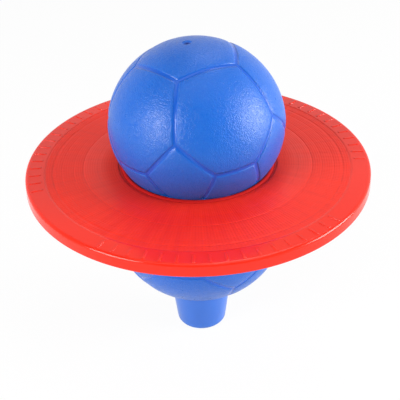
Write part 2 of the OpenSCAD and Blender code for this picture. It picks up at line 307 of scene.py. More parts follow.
def panel_seams():
    """The seams of the 32-panel pattern, each as two corners by angle from the pole and round it.

    The corners are those of the pole's pentagon and of the pentagons that stand about it on a
    truncated icosahedron, whose radius is sqrt(58 + 18 sqrt 5) / 4 edges. They are one fifth of
    the pattern. The top seams lie on both lobes, and the low ones on the lower lobe alone.
    """
    pitch = TURN / 5.0
    radius = math.sqrt(58.0 + 18.0 * math.sqrt(5.0)) / 4.0
    spread = math.asin(1.0 / (2.0 * math.sin(pitch / 2.0) * radius))
    tilt = math.atan(2.0)

    def corner(turn):
        cos_angle = math.cos(tilt) * math.cos(spread) + math.sin(tilt) * math.sin(spread) * math.cos(turn)
        swing = math.atan2(
            math.sin(turn) * math.sin(spread) * math.sin(tilt),
            math.cos(spread) - math.cos(tilt) * cos_angle)
        return math.acos(cos_angle), swing

    c1, c2, c3, c4 = (spread, 0.0), corner(0.0), corner(pitch), corner(2.0 * pitch)
    flip3, flip4 = (c3[0], -c3[1]), (c4[0], -c4[1])
    equator, flip_equator = (RIGHT, pitch / 4.0), (RIGHT, -pitch / 4.0)
    top = [
        (c1, (c1[0], pitch)), (c1, c2), (c3, (c3[0], pitch - c3[1])),
        (c2, c3), (c3, c4), (c2, flip3), (flip3, flip4),
    ]
    low = [(flip4, c4), (c4, equator), (flip4, flip_equator)]
    return top, low


def seam_lines(pairs, spread, bearing, lean):
    """Directions of both ends of every seam on a lobe whose pole leans.

    The air pressure stretches an angle a from the pole to a (s - t (a / 90 degrees)^2), where s
    and t are the two shares of the spread.
    """
    turns = bearing + np.arange(5) * TURN / 5.0
    ends = []
    for side in (0, 1):
        angle, swing = np.array([pair[side] for pair in pairs]).T[..., None]
        angle = angle * (spread[0] - spread[1] * (angle / RIGHT) ** 2)
        ends.append(leaned(pointing(angle, swing + turns), lean, LEAN_BEARING).reshape(-1, 3))
    return ends


def seam_distance(directions, starts, ends):
    """Smallest angle from each direction to any seam.

    It is the angle to the seam's great circle between the seam's ends, and to an end beyond them.
    """
    best = np.full(directions.shape[:-1], np.pi)
    for a, b in zip(starts, ends):
        normal = np.cross(a, b)
        normal /= np.linalg.norm(normal)
        beside = np.abs(np.arcsin(np.clip(directions @ normal, -1.0, 1.0)))
        between = (directions @ np.cross(normal, a) > 0.0) & (directions @ np.cross(b, normal) > 0.0)
        to_end = np.arccos(np.clip(np.maximum(directions @ a, directions @ b), -1.0, 1.0))
        best = np.minimum(best, np.where(between, beside, to_end))
    return best


def seam_relief(distance, ball):
    """Depth of the skin below its smooth form at a distance from the nearest seam.

    The groove falls by the smoothstep between its floor's half width and its own, and the panels
    sink a little towards their seams like exp(-(distance / reach)^2).
    """
    groove = 1.0 - smooth(ball.groove_floor / MM / 2.0, ball.groove_width / MM / 2.0, distance)
    pillow = np.exp(-(distance / (ball.pillow_reach / MM)) ** 2)
    return ball.groove_depth / MM * groove + ball.pillow_depth / MM * pillow * (1.0 - groove)


def seamed_grid(section, share, lobe, seams, lean, ball):
    """A lobe's grid with its seams cut, and each point's distance to a seam for the material.

    The pole leans, and that fades out towards the waist. The distance is SEAM_FAR at most, and
    where no groove is cut.
    """
    angle = np.arctan2(section[:, 0], section[:, 1])[:, None]
    fade = 1.0 - smooth(*LEAN_FADE, angle)
    bearing = np.arange(ball.columns) * TURN / ball.columns
    directions = leaned(pointing(angle, bearing), lean * fade, LEAN_BEARING)
    distance = lobe["crown"] * seam_distance(directions, *seams)
    cut = seam_relief(distance, ball) * share[:, None]
    reach = np.hypot(section[:, 0], section[:, 1])[:, None] - cut
    near = SEAM_FAR + (np.minimum(distance, SEAM_FAR) - SEAM_FAR) * share[:, None]
    return directions * reach[..., None], near.ravel()


def upper_lobe_shape(ball):
    """The upper lobe: a shell with a hole and a boss for the valve at its pole, open to the waist."""
    crown = UPPER_LOBE["crown"]
    hole_r, dimple_r, dimple_depth, boss_r, boss_depth, bevel = 3.65, 5.6, 1.4, 8.0, 9.0, 1.0
    start = math.asin(dimple_r / crown)
    inner_start = math.asin(boss_r / (crown - ball.wall / MM))
    section, share = lobe_rows(UPPER_LOBE, start, inner_start, ball)
    rim, floor, bottom = crown * math.cos(start), crown - dimple_depth, crown - boss_depth
    t = np.linspace(0.0, 1.0, 7)[:-1]
    boss = np.vstack([
        line([boss_r, bottom + bevel], [boss_r - bevel, bottom], 2),
        line([boss_r - bevel, bottom], [hole_r, bottom], 2),
        line([hole_r, bottom], [hole_r, floor], 3),
        np.stack([hole_r + (dimple_r - hole_r) * t, floor + (rim - floor) * smooth(0.0, 1.0, t)], -1),
    ])
    top, _ = panel_seams()
    seams = seam_lines(top, UPPER_SPREAD, SEAM_BEARING, LEAN)
    share = np.append(share, np.zeros(len(boss)))
    grid, seam = seamed_grid(np.vstack([section, boss]), share, UPPER_LOBE, seams, LEAN, ball)
    return raised(skin(grid), UPPER_Z), seam


def lower_lobe_shape(ball):
    """The lower lobe: a shell closed at its pole, open to the waist. It is made pole up and mirrored."""
    section, share = lobe_rows(LOWER_LOBE, math.radians(0.8), math.radians(6.0), ball)
    top, low = panel_seams()
    seams = seam_lines(top + low, LOWER_SPREAD, SEAM_BEARING + TURN / 10.0, 0.0)
    grid, seam = seamed_grid(section, share, LOWER_LOBE, seams, 0.0, ball)
    crown = LOWER_LOBE["crown"]
    poles = [[0.0, 0.0, -crown], [0.0, 0.0, -crown + ball.wall / MM]]
    shape = skin(grid * np.array([1.0, 1.0, -1.0]), poles)
    return raised(shape, LOWER_Z), np.append(seam, [SEAM_FAR, SEAM_FAR])


def valve_shape():
    """The rubber valve, turned about its axis: flange, stem, and a funnel down to the needle bore.

    With it comes a share for each point, which is 1 down in the funnel and the bore. Heights are
    measured from the top of the lobe.
    """
    columns = 72
    stem, flange, bore, mouth = 3.6, 6.2, 1.0, 2.0
    top, middle, flange_top, flange_low = -1.4, -6.0, -9.05, -11.05
    funnel, needle, tip = top - 2.0, top - 11.0, top - 12.4
    edge, mouth_edge = 0.5, 0.3
    inner = [
        [bore + 0.35, funnel + 0.5], [bore, funnel],
        [bore, needle + 0.2], [0.8 * bore, needle],
    ]
    section = np.vstack([
        [[0.8 * stem, tip]],
        arc([stem - edge, tip + edge], edge, -RIGHT, 0.0, 4),
        [[stem, flange_low]],
        arc([flange - edge, flange_low + edge], edge, -RIGHT, 0.0, 4),
        arc([flange - edge, flange_top - edge], edge, 0.0, RIGHT, 4),
        [[stem, flange_top]],
        line([stem, middle], [stem, top - edge], 3),
        arc([stem - edge, top - edge], edge, 0.0, RIGHT, 5),
        arc([mouth + mouth_edge, top - mouth_edge], mouth_edge, RIGHT, math.pi, 4),
        inner,
    ])
    points, faces = skin(turned(section, columns), [[0.0, 0.0, tip], [0.0, 0.0, needle]])
    points = leaned(points + np.array([0.0, 0.0, UPPER_LOBE["crown"]]), LEAN, LEAN_BEARING)
    in_bore = np.repeat(np.arange(len(section)) >= len(section) - len(inner), columns)
    return raised((points, faces), UPPER_Z), np.append(in_bore, [False, True])


# Platform, whose shapes stand about the plane of the rim band until they are raised to it


def deck_section(platform):
    """Closed half section of the deck: lip, moat, tread, rim band, skirt, underside and collar.

    Each ring groove of the tread has the depth d exp(-((r - place) / width)^2), and the tread
    steps up to the band by the smoothstep.
    """
    moat, moat_edge, moat_fillet = -1.25, 0.7, 0.15
    edge, fillet, step_half = 3.0, 1.0, 1.2
    lip, low_lip = np.array([LIP_CENTRE_R, -LIP_SINK]), np.array([LIP_CENTRE_R, -LIP_SINK - HUB_SPAN])
    lip_end = math.asin((moat - lip[1]) / LIP_R)
    neck = math.acos((COLLAR_R - LIP_CENTRE_R) / LIP_R)

    # Places and depths of the ring grooves, each with points of the tread close about it
    grooves = {110.0: 0.1, RING_RIB_R[0]: 0.25, 137.0: 0.1, 150.0: 0.12, RING_RIB_R[1]: 0.3}
    groove_width = 1.0
    beside = np.array([-1.5, -1.0, -0.6, -0.3, 0.0, 0.3, 0.6, 1.0, 1.5])
    near = np.array(list(grooves))[:, None] + beside
    r = np.append(np.linspace(MOAT_R + moat_edge, BAND_R - 1.4, 46), near)
    r = np.unique(np.round(r, 1))
    depth = sum(d * np.exp(-((r - place) / groove_width) ** 2) for place, d in grooves.items())
    step = np.linspace(BAND_R - step_half, BAND_R + step_half, 6)
    band = np.linspace(BAND_R + 2.0, DECK_R - edge, 14)

    # Skirt: half its thickness, its height, and the centre of its round foot
    half, skirt_h = 1.3, 13.7
    skirt_low = half - skirt_h
    skirt_r = DECK_R + platform.skirt_flare / MM
    inner_r = DECK_R - 2.0 * half
    wall_r = MOAT_R + DECK_T
    return np.vstack([
        arc(lip, LIP_R, math.pi, lip_end, 22),
        line([LIP_CENTRE_R + LIP_R + 0.35, moat], [MOAT_R - moat_fillet, moat], 3),
        arc([MOAT_R - moat_fillet, moat + moat_fillet], moat_fillet, -RIGHT, 0.0, 4),
        arc([MOAT_R + moat_edge, TREAD - moat_edge], moat_edge, math.pi, RIGHT, 7)[1:-1],
        np.stack([r, TREAD - depth], -1),
        np.stack([step, TREAD * (1.0 - smooth(BAND_R - step_half, BAND_R + step_half, step))], -1),
        np.stack([band, np.zeros_like(band)], -1),
        arc([DECK_R - edge, -edge], edge, RIGHT, 0.0, 8)[1:],
        line([0.9 * DECK_R + 0.1 * skirt_r, -edge - 1.0], [skirt_r, skirt_low], 7),
        arc([skirt_r - half, skirt_low], half, 0.0, -math.pi, 11),
        line([skirt_r - 2.0 * half, skirt_low + 0.6], [inner_r, UNDER - fillet], 5),
        arc([inner_r - fillet, UNDER - fillet], fillet, 0.0, RIGHT, 5),
        line([DECK_R - 5.0, UNDER], [MOAT_R + 4.0, UNDER], 30),
        arc([wall_r + fillet, UNDER - fillet], fillet, RIGHT, math.pi, 5),
        [[wall_r, MOAT_UNDER + 0.6], [wall_r - 0.6, MOAT_UNDER]],
        line([MOAT_R + 1.0, MOAT_UNDER], [COLLAR_R + 1.5, MOAT_UNDER], 4),
        arc([COLLAR_R + fillet, MOAT_UNDER - fillet], fillet, RIGHT, math.pi, 5),
        line([COLLAR_R, MOAT_UNDER - 2.0], [COLLAR_R, low_lip[1] + LIP_R * math.sin(neck) + 0.3], 4),
        arc(low_lip, LIP_R, neck, -math.pi, 26),
        line([BORE_R, low_lip[1] + 1.0], [BORE_R, lip[1] - 0.6], 6),
    ])


def deck_shape(platform):
    """The deck turned about the axis, with a faint sink in its tread over each spoke.

    The sink falls off to both sides like exp(-(bearing / width)^2).
    """
    section = deck_section(platform)
    grid = turned(section, platform.columns)
    pitch = TURN / platform.spokes
    bearing = np.arange(platform.columns) * TURN / platform.columns
    off = (bearing - platform.spoke_bearing + pitch / 2.0) % pitch - pitch / 2.0
    over_spoke = np.exp(-(off / math.radians(0.75)) ** 2)
    on_tread = smooth(92.0, 96.0, section[:, 0]) * (section[:, 1] > -1.5) * (section[:, 1] < -0.3)
    grid[..., 2] -= platform.sink / MM * on_tread[:, None] * over_spoke
    return raised(skin(grid), DECK_Z)


def rib_section(half, under, bottom):
    """Closed section across a moulded rib: top buried in the deck, fillet, draft and round foot."""
    low, fillet, buried = 0.8 * half, 0.7, 1.1
    right = np.array([
        [half + fillet, under + buried],
        [half + fillet, under],
        [half + 0.35 * fillet, under - 0.35 * fillet],
        [half, under - fillet],
        [low, bottom + low],
        [0.85 * low, bottom + 0.45 * low],
        [0.5 * low, bottom + 0.12 * low],
    ])
    left = right[::-1] * np.array([-1.0, 1.0])
    return np.vstack([right, [[0.0, bottom]], left])


def spokes_shape(platform):
    """All spokes and the two ring ribs.

    A spoke along +X has the rib section at stations from the collar to the skirt, and caps. Its
    top follows the undersides of the moat and the tread, and its foot rises evenly outwards. The
    spokes are turned round the axis by their pitch.
    """
    half = platform.rib_thickness / MM / 2.0
    root, tip, cap_z = 81.7, 188.6, -8.0
    by_collar, by_skirt = [83.6, 86.0, 89.6, 90.6, 91.8, 94.0], [184.0, 187.0]
    x = np.array([root, *by_collar, 110.0, 130.0, 150.0, 170.0, *by_skirt, tip])
    under = np.where(x < MOAT_R + DECK_T, MOAT_UNDER, UNDER)
    root_low, rise, run, ring_low, ring_columns = -15.5, 3.5, 107.0, -9.0, 240
    bottom = root_low + rise * (x - root) / run
    sections = [rib_section(half, u, b) for u, b in zip(under, bottom)]
    grid = np.array([np.column_stack([np.full(len(s), place), s]) for s, place in zip(sections, x)])
    points, faces = skin(grid, [[root, 0.0, cap_z], [tip, 0.0, cap_z]])
    bearings = platform.spoke_bearing + np.arange(platform.spokes) * TURN / platform.spokes
    shapes = [(swung(points, bearing), faces) for bearing in bearings]
    for radius in RING_RIB_R:
        ring = rib_section(half, UNDER, ring_low)[::-1] + np.array([radius, 0.0])
        shapes.append(skin(turned(ring, ring_columns)))
    return raised(joined(shapes), DECK_Z)


def grip_marks_shape(platform):
    """Raised bars on the rim band, in groups: a rounded outline carried up and drawn in over its edge."""
    length, width, height = platform.mark_length / MM, platform.mark_width / MM, platform.mark_height / MM
    corner, sunk = 0.9, -1.0
    quarters = [(1, 1, 0.0), (-1, 1, RIGHT), (-1, -1, math.pi), (1, -1, 3.0 * RIGHT)]

    def outline(inset, z):
        x, y = length / 2.0 - corner, width / 2.0 - corner
        corners = [arc([sx * x, sy * y], corner - inset, a, a + RIGHT, 4) for sx, sy, a in quarters]
        flat = np.vstack(corners)
        return np.column_stack([flat, np.full(len(flat), z)])

    insets, shares = (0.0, 0.1, 0.3, 0.55), (0.25, 0.7, 0.95, 1.0)
    rows = [outline(inset, share * height) for inset, share in zip(insets, shares)]
    grid = np.array([outline(0.0, sunk), *rows])
    points, faces = skin(grid, [[0.0, 0.0, sunk], [0.0, 0.0, height]])
    points = points + np.array([0.5 * (BAND_R + DECK_R), 0.0, 0.0])
    shapes = []
    for group in range(platform.mark_groups):
        middle = platform.mark_bearing + group * TURN / platform.mark_groups
        for mark in range(platform.marks):
            bearing = middle + (mark - (platform.marks - 1) / 2.0) * platform.mark_pitch
            shapes.append((swung(points, bearing), faces))
    return raised(joined(shapes), DECK_Z)


# Foot


def foot_shape(foot):
    """The foot: a tapered cup with a rounded lower edge, whose rim follows the lower lobe's sphere.

    A round edge touches the sloping side and its floor, so its centre stands in from the side by
    radius * sqrt(1 + slope^2).
    """
    wall, seat = foot.wall / MM, LOWER_LOBE["crown"] + foot.seat_gap / MM
    base_r, floor, outer_round, inner_round, rim_round = 29.4, 4.0, 5.0, 3.5, 0.9
    slope = (FOOT_RIM_R - base_r) / FOOT_H
    out = math.atan2(-slope, 1.0)

    def edge(inset, bottom, radius):
        z = bottom + radius
        return [base_r + z * slope - (inset + radius) * math.hypot(1.0, slope), z]

    def side(z, inset=0.0):
        return [base_r - inset + z * slope, z]

    outer, inner = edge(0.0, 0.0, outer_round), edge(wall, floor, inner_round)
    inner_r = 33.35
    seat_r = np.array([0.5 * (FOOT_RIM_R - rim_round + inner_r), inner_r])
    section = np.vstack([
        line([1.0, 0.0], [outer[0], 0.0], 8),
        arc(outer, outer_round, -RIGHT, out, 14),
        line(side(6.0), side(FOOT_H - 2.2), 24),
        arc([FOOT_RIM_R - rim_round - 0.1, FOOT_H - rim_round - 0.25], rim_round, out, RIGHT - 0.35, 7),
        np.stack([seat_r, LOWER_Z - np.sqrt(seat ** 2 - seat_r ** 2)], -1),
        line([inner_r - slope, FOOT_H - 2.5], side(10.0, wall), 12),
        arc(inner, inner_round, out, -RIGHT, 8),
        line([inner[0] - 1.0, floor], [1.0, floor], 6),
    ])
    return skin(turned(section, foot.columns), [[0.0, 0.0, 0.0], [0.0, 0.0, floor]])


# Materials


def add_node(tree, kind, settings=None, values=None, links=None):
    """Adds one shader node: settings are its properties, values its own sockets, and links feed others.

    A link comes from a socket, or from a node, which stands for its first output.
    """
    node = tree.nodes.new(kind)
    for name, value in (settings or {}).items():
        setattr(node, name, value)
    for socket, value in (values or {}).items():
        node.inputs[socket].default_value = value
    for socket, source in (links or {}).items():
        output = source if isinstance(source, bpy.types.NodeSocket) else source.outputs[0]
        tree.links.new(output, node.inputs[socket])
    return node


# Sockets of the Mix node, whose names repeat for each kind of data
MIX_FACTOR, MIX_A, MIX_B, MIX_COLOUR = 0, 6, 7, 2
MIX_FLOAT_A, MIX_FLOAT_B = 2, 3


def new_material(name):
    """A node material, its empty tree, and the place on the piece that patterns are read from."""
    material = bpy.data.materials.new(name)
    material.use_nodes = True
    tree = material.node_tree
    tree.nodes.clear()
    return material, tree, add_node(tree, "ShaderNodeTexCoord").outputs["Object"]


def grained_vinyl(ball):
    """Plasticised PVC, rotation moulded: satin, with the tool's leather grain and smooth seam grooves."""
    material, tree, place = new_material("plasticised_pvc_leather_grain")
    seam = add_node(tree, "ShaderNodeAttribute", {"attribute_name": "seam_distance"}).outputs["Fac"]

    # Panels: 1 out on them and 0 down on a groove's floor, with the groove's wall from 1.2 mm to 3.2 mm
    panel = add_node(
        tree, "ShaderNodeMapRange", {"interpolation_type": "SMOOTHSTEP"},
        {"From Min": 1.2, "From Max": 3.2}, {"Value": seam})

    # Grain: pebbles 2.4 mm across, drawn out of round by a noise of 6 mm, with a sharp crease round each
    wander = add_node(
        tree, "ShaderNodeTexNoise", None, {"Scale": 1.0 / (6.0 * MM), "Detail": 1.0}, {"Vector": place})
    shift = add_node(
        tree, "ShaderNodeVectorMath", {"operation": "MULTIPLY_ADD"},
        {1: (4.0 * MM, 4.0 * MM, 4.0 * MM)}, {0: wander.outputs["Color"], 2: place})
    cells = add_node(
        tree, "ShaderNodeTexVoronoi", {"feature": "DISTANCE_TO_EDGE"},
        {"Scale": 1.0 / (2.4 * MM), "Randomness": 0.95}, {"Vector": shift})
    pebble = add_node(
        tree, "ShaderNodeMapRange", {"interpolation_type": "SMOOTHSTEP"},
        {"From Max": 0.24}, {"Value": cells})

    # Wrinkles about 3 mm apart, the contour lines of a slow noise, and soft folds of 4.5 mm
    slow = add_node(
        tree, "ShaderNodeTexNoise", None, {"Scale": 1.0 / (38.0 * MM), "Detail": 1.0}, {"Vector": place})
    phase = add_node(tree, "ShaderNodeMath", {"operation": "MULTIPLY"}, {1: 190.0}, {0: slow})
    wrinkles = add_node(tree, "ShaderNodeMath", {"operation": "SINE"}, links={0: phase})
    folds = add_node(
        tree, "ShaderNodeTexNoise", None,
        {"Scale": 1.0 / (4.5 * MM), "Detail": 3.0, "Distortion": 0.8}, {"Vector": place})

    # Relief in millimetres: the grain, 0.12 mm for each whole pebble, and the walls of the grooves
    grain = add_node(
        tree, "ShaderNodeMath", {"operation": "MULTIPLY_ADD"}, {1: 2.0}, {0: folds, 2: pebble})
    grain = add_node(
        tree, "ShaderNodeMath", {"operation": "MULTIPLY_ADD"}, {1: 0.22}, {0: wrinkles, 2: grain})
    grain = add_node(tree, "ShaderNodeMath", {"operation": "MULTIPLY"}, links={0: grain, 1: panel})
    wall = add_node(
        tree, "ShaderNodeMath", {"operation": "MULTIPLY"}, {1: ball.groove_step / MM}, {0: panel})
    relief = add_node(
        tree, "ShaderNodeMath", {"operation": "MULTIPLY_ADD"}, {1: 0.12}, {0: grain, 2: wall})
    bump = add_node(tree, "ShaderNodeBump", None, {"Strength": 1.0, "Distance": MM}, {"Height": relief})

    # Colour: pigment clouds of 60 mm, and painted shade that deepens it in the creases of the grain and down
    # in the grooves
    clouds = add_node(
        tree, "ShaderNodeTexNoise", None, {"Scale": 1.0 / (60.0 * MM), "Detail": 2.0}, {"Vector": place})
    crease_shade = add_node(
        tree, "ShaderNodeMapRange", None, {"To Min": 0.45, "To Max": 0.0}, {"Value": pebble})
    sunk = add_node(tree, "ShaderNodeMapRange", None, {"To Min": 0.9, "To Max": 0.0}, {"Value": panel})
    depth = add_node(tree, "ShaderNodeMath", {"operation": "MAXIMUM"}, links={0: sunk, 1: crease_shade})
    tone = add_node(
        tree, "ShaderNodeMix", {"data_type": "RGBA"},
        {MIX_A: ball.colour, MIX_B: ball.colour_cloud}, {MIX_FACTOR: clouds}).outputs[MIX_COLOUR]
    tone = add_node(
        tree, "ShaderNodeMix", {"data_type": "RGBA"},
        {MIX_B: ball.groove_shade_colour}, {MIX_FACTOR: depth, MIX_A: tone}).outputs[MIX_COLOUR]

    # Satin gloss that the folds break up, and a glossier groove
    gloss = add_node(
        tree, "ShaderNodeMapRange", None,
        {"From Min": 0.3, "From Max": 0.7, "To Min": 0.27, "To Max": 0.41}, {"Value": folds})
    gloss = add_node(
        tree, "ShaderNodeMix", {"data_type": "FLOAT"},
        {MIX_FLOAT_A: 0.24}, {MIX_FACTOR: panel, MIX_FLOAT_B: gloss})
    surface = add_node(
        tree, "ShaderNodeBsdfPrincipled", None, {"IOR": 1.53, "Specular IOR Level": 0.42},
        {"Base Color": tone, "Roughness": gloss, "Normal": bump})
    add_node(tree, "ShaderNodeOutputMaterial", links={"Surface": surface})
    return material


def tread_polypropylene(platform):
    """Polypropylene, injection moulded: glossy band and skirt, and a tread of rings and radial lines."""
    material, tree, place = new_material("polypropylene_injection_moulded")
    axes = add_node(tree, "ShaderNodeSeparateXYZ", links={"Vector": place}).outputs
    flat = add_node(
        tree, "ShaderNodeVectorMath", {"operation": "MULTIPLY"},
        {1: (1.0 / MM, 1.0 / MM, 0.0)}, {0: place})
    radius = add_node(
        tree, "ShaderNodeVectorMath", {"operation": "LENGTH"}, links={0: flat}).outputs["Value"]
    angle = add_node(tree, "ShaderNodeMath", {"operation": "ARCTAN2"}, links={0: axes["Y"], 1: axes["X"]})

    # Zones by radius: the two radii between which a number changes, and the number at each of them.
    # shine, middle and hub are parts of the roughness: the band and skirt shine, the tread is satin
    # and a little glossier inside its inner ring rib, and the hub is rubbed dull
    ranges = {
        "inside": (89.5, 91.5, 0.0, 1.0),
        "outside": (168.8, 166.8, 0.0, 1.0),
        "shine": (167.0, 169.5, 0.47, 0.15),
        "middle": (128.0, 125.0, 0.0, -0.08),
        "hub": (112.0, 94.0, 0.0, 0.2),
        # lip: where the lip gets painted shade in its colour and a duller roughness
        "lip": (86.4, 85.4, 0.0, 1.0),
    }
    zone = {}
    for name, (start, end, before, after) in ranges.items():
        zone[name] = add_node(
            tree, "ShaderNodeMapRange", {"interpolation_type": "SMOOTHSTEP"},
            {"From Min": start, "From Max": end, "To Min": before, "To Max": after}, {"Value": radius})

    # The tread lies inside the band, outside the moat, and on the upper side alone
    on_tread = add_node(
        tree, "ShaderNodeMath", {"operation": "GREATER_THAN"}, {1: (DECK_Z - 1.6) * MM}, {0: axes["Z"]})
    for name in ("inside", "outside"):
        on_tread = add_node(
            tree, "ShaderNodeMath", {"operation": "MULTIPLY"}, links={0: on_tread, 1: zone[name]})

    # Rings 2.6 mm apart and 300 radial lines, cut by the tool, each as a sine from -1 to 1
    waves = []
    for source, per_unit in ((radius, TURN / 2.6), (angle, 300.0)):
        phase = add_node(tree, "ShaderNodeMath", {"operation": "MULTIPLY"}, {1: per_unit}, {0: source})
        waves.append(add_node(tree, "ShaderNodeMath", {"operation": "SINE"}, links={0: phase}))
    rings, rays = waves
    weave = add_node(tree, "ShaderNodeMath", {"operation": "MULTIPLY_ADD"}, {1: 0.9}, {0: rays, 2: rings})
    tread = add_node(tree, "ShaderNodeMath", {"operation": "MULTIPLY"}, links={0: weave, 1: on_tread})

    # Flow marks: streaks that run out from the gates round the hub, 4 mm wide near it and 50 mm long
    out = add_node(tree, "ShaderNodeVectorMath", {"operation": "NORMALIZE"}, links={0: flat})
    along = add_node(tree, "ShaderNodeMath", {"operation": "MULTIPLY"}, {1: 1.0 / 50.0}, {0: radius})
    along = add_node(tree, "ShaderNodeCombineXYZ", links={"Z": along})
    streaks = add_node(
        tree, "ShaderNodeVectorMath", {"operation": "MULTIPLY_ADD"},
        {1: (24.0, 24.0, 0.0)}, {0: out, 2: along})
    flow = add_node(tree, "ShaderNodeTexNoise", None, {"Scale": 1.0, "Detail": 2.0}, {"Vector": streaks})
    flow = add_node(tree, "ShaderNodeMath", {"operation": "SUBTRACT"}, {1: 0.5}, {0: flow})
    flow = add_node(tree, "ShaderNodeMath", {"operation": "MULTIPLY"}, links={0: flow, 1: on_tread})

    # Relief: the tread, the flow marks, and a faint waviness of 7 mm in the glossy skin
    peel = add_node(
        tree, "ShaderNodeTexNoise", None, {"Scale": 1.0 / (7.0 * MM), "Detail": 1.0}, {"Vector": place})
    relief = add_node(tree, "ShaderNodeMath", {"operation": "MULTIPLY_ADD"}, {1: 0.7}, {0: flow, 2: tread})
    relief = add_node(
        tree, "ShaderNodeMath", {"operation": "MULTIPLY_ADD"}, {1: 1.2}, {0: peel, 2: relief})
    bump = add_node(
        tree, "ShaderNodeBump", None, {"Strength": 1.0, "Distance": 0.045 * MM}, {"Height": relief})

    # Colour: paler along the flow marks, and painted shade that deepens it between the tread's ridges and on
    # the lip
    strength = add_node(
        tree, "ShaderNodeMapRange", None, {"From Min": -0.3, "From Max": 0.3}, {"Value": flow})
    valley_shade = add_node(
        tree, "ShaderNodeMapRange", None,
        {"From Min": 0.6, "From Max": -1.9, "To Max": 0.13}, {"Value": tread})
    tone = add_node(
        tree, "ShaderNodeMix", {"data_type": "RGBA"},
        {MIX_A: platform.colour, MIX_B: platform.colour_flow}, {MIX_FACTOR: strength}).outputs[MIX_COLOUR]
    for factor, colour in ((valley_shade, platform.valley_shade_colour), (zone["lip"], platform.lip_shade_colour)):
        tone = add_node(
            tree, "ShaderNodeMix", {"data_type": "RGBA"},
            {MIX_B: colour}, {MIX_FACTOR: factor, MIX_A: tone}).outputs[MIX_COLOUR]

    # Roughness: the zones' parts, a little from the flow marks, and a duller lip
    gloss = zone["shine"]
    for source, share in ((zone["middle"], 1.0), (zone["hub"], 1.0), (flow, 0.1), (zone["lip"], 0.3)):
        gloss = add_node(
            tree, "ShaderNodeMath", {"operation": "MULTIPLY_ADD"}, {1: share}, {0: source, 2: gloss})
    surface = add_node(
        tree, "ShaderNodeBsdfPrincipled", None, {"IOR": 1.49, "Specular IOR Level": 0.36},
        {"Base Color": tone, "Roughness": gloss, "Normal": bump})
    add_node(tree, "ShaderNodeOutputMaterial", links={"Surface": surface})
    return material


def smooth_vinyl(foot):
    """Plasticised PVC, moulded in a polished tool: smooth, with faint ripples, and scuffed low down."""
    material, tree, place = new_material("plasticised_pvc_smooth")
    height = add_node(tree, "ShaderNodeSeparateXYZ", links={"Vector": place}).outputs["Z"]
    ripple = add_node(
        tree, "ShaderNodeTexNoise", None, {"Scale": 1.0 / (9.0 * MM), "Detail": 2.0}, {"Vector": place})
    scuffs = add_node(
        tree, "ShaderNodeTexNoise", None,
        {"Scale": 1.0 / (1.5 * MM), "Detail": 4.0, "Roughness": 0.7}, {"Vector": place})
    low = add_node(
        tree, "ShaderNodeMapRange", {"interpolation_type": "SMOOTHSTEP"},
        {"From Min": 9.0 * MM, "From Max": 0.0}, {"Value": height})
    scuffed = add_node(tree, "ShaderNodeMath", {"operation": "MULTIPLY"}, links={0: scuffs, 1: low})
    tone = add_node(
        tree, "ShaderNodeMix", {"data_type": "RGBA"},
        {MIX_A: foot.colour, MIX_B: foot.colour_scuff}, {MIX_FACTOR: scuffed}).outputs[MIX_COLOUR]
    gloss = add_node(tree, "ShaderNodeMath", {"operation": "MULTIPLY_ADD"}, {1: 0.3, 2: 0.3}, {0: scuffed})
    bump = add_node(
        tree, "ShaderNodeBump", None, {"Strength": 0.25, "Distance": 0.3 * MM}, {"Height": ripple})
    surface = add_node(
        tree, "ShaderNodeBsdfPrincipled", None, {"IOR": 1.53},
        {"Base Color": tone, "Roughness": gloss, "Normal": bump})
    add_node(tree, "ShaderNodeOutputMaterial", links={"Surface": surface})
    return material


def valve_rubber(ball):
    """Natural rubber, moulded: dull, with a fine bloom, and painted shade that makes it near black down the
    bore.
    """
    material, tree, place = new_material("natural_rubber_moulded")
    bore = add_node(tree, "ShaderNodeAttribute", {"attribute_name": "bore"}).outputs["Fac"]
    bloom = add_node(
        tree, "ShaderNodeTexNoise", None, {"Scale": 1.0 / (0.8 * MM), "Detail": 3.0}, {"Vector": place})
    tone = add_node(
        tree, "ShaderNodeMix", {"data_type": "RGBA"},
        {MIX_A: ball.colour_valve, MIX_B: ball.colour_bloom}, {MIX_FACTOR: bloom}).outputs[MIX_COLOUR]
    # Painted shade: near black down the funnel and the bore
    tone = add_node(
        tree, "ShaderNodeMix", {"data_type": "RGBA"},
        {MIX_B: ball.bore_shade_colour}, {MIX_FACTOR: bore, MIX_A: tone}).outputs[MIX_COLOUR]
    gloss = add_node(tree, "ShaderNodeMapRange", None, {"To Min": 0.5, "To Max": 0.7}, {"Value": bloom})
    bump = add_node(
        tree, "ShaderNodeBump", None, {"Strength": 0.3, "Distance": 0.1 * MM}, {"Height": bloom})
    surface = add_node(
        tree, "ShaderNodeBsdfPrincipled", None, {"IOR": 1.52},
        {"Base Color": tone, "Roughness": gloss, "Normal": bump})
    add_node(tree, "ShaderNodeOutputMaterial", links={"Surface": surface})
    return material


# Stage

# Softboxes: azimuth and elevation in degrees about the ball's middle, which they face, then distance,
# width and height in metres, and power in watts. That middle's height is in metres too
BALL_MIDDLE_Z = 0.24
SOFTBOXES = {
    "softbox_left": (-142.0, 21.0, 1.7, 0.85, 0.8, 25.5),
    "softbox_right": (-8.0, 14.5, 1.7, 1.0, 0.9, 36.0),
    "overhead_panel": (-90.0, 80.0, 2.0, 1.8, 1.2, 9.5),
    "softbox_back": (70.0, 58.0, 1.9, 0.7, 0.7, 5.0),
}


def place_object(name, data, place, right, up, back):
    """A new object at a place, whose own X, Y and Z run along right, up and back."""
    axes = np.column_stack([right, up, back, place])
    thing = bpy.data.objects.new(name, data)
    thing.matrix_world = Matrix(np.vstack([axes, [0.0, 0.0, 0.0, 1.0]]).tolist())
    bpy.context.scene.collection.objects.link(thing)
    return thing


